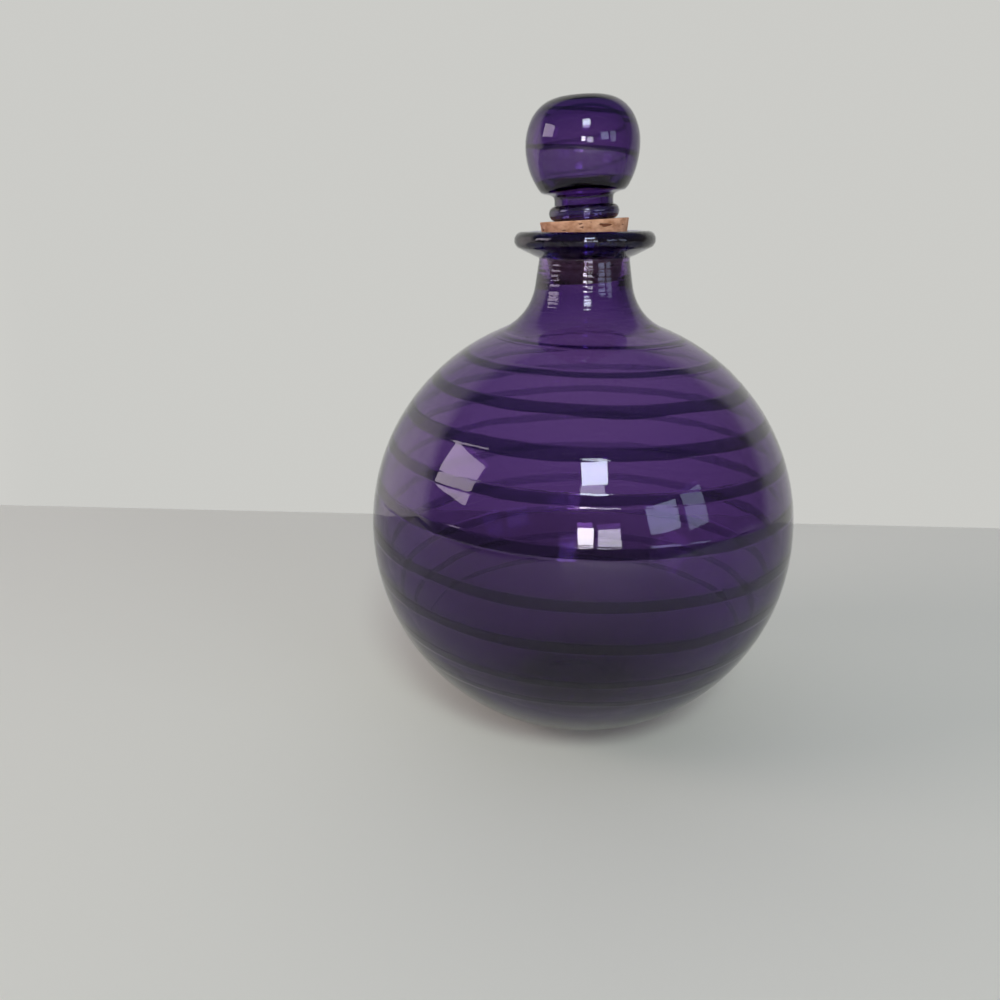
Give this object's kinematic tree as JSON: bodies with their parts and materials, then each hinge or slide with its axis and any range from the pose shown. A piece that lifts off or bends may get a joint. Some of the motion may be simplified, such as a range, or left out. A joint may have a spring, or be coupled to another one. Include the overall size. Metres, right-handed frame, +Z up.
{
  "type": "bottle",
  "caption": "Round blown-glass bottle with a rolled lip, a spiral glass trail and a lift-out cork topped by a glass bulb.",
  "frame": {"origin": "on the resting plane, under the centre of the whole object, on the bottle's axis", "axes": "+Z up along the bottle's axis; -Y is the front; the stopper leans slightly towards -X"},
  "size_m": [0.2003, 0.2003, 0.2856],
  "materials": {
    "bottle_glass": "clear violet blown glass, fire-polished",
    "lip_glass": "thick violet glass, nearly opaque, fire-polished",
    "trail_glass": "dark violet wound glass thread",
    "stopper_glass": "clear violet blown glass, fire-polished",
    "cork": "natural cork with dark pores, dry and matt",
    "adhesive": "cured clear adhesive film"
  },
  "bodies": {
    "bottle": {"bottle_body": "bottle_glass", "lip_ring": "lip_glass", "globe_trail": "trail_glass"},
    "stopper": {"cork": "cork", "stopper_glass": "stopper_glass", "stopper_bead": "lip_glass", "stopper_trail": "trail_glass", "glue_sleeve": "adhesive"}
  },
  "joints": [
    {"name": "stopper_lift", "type": "slide", "parent": "bottle", "child": "stopper", "axis": [-0.0471, 0, 0.9989], "range_m": [0, 0.06]}
  ]
}
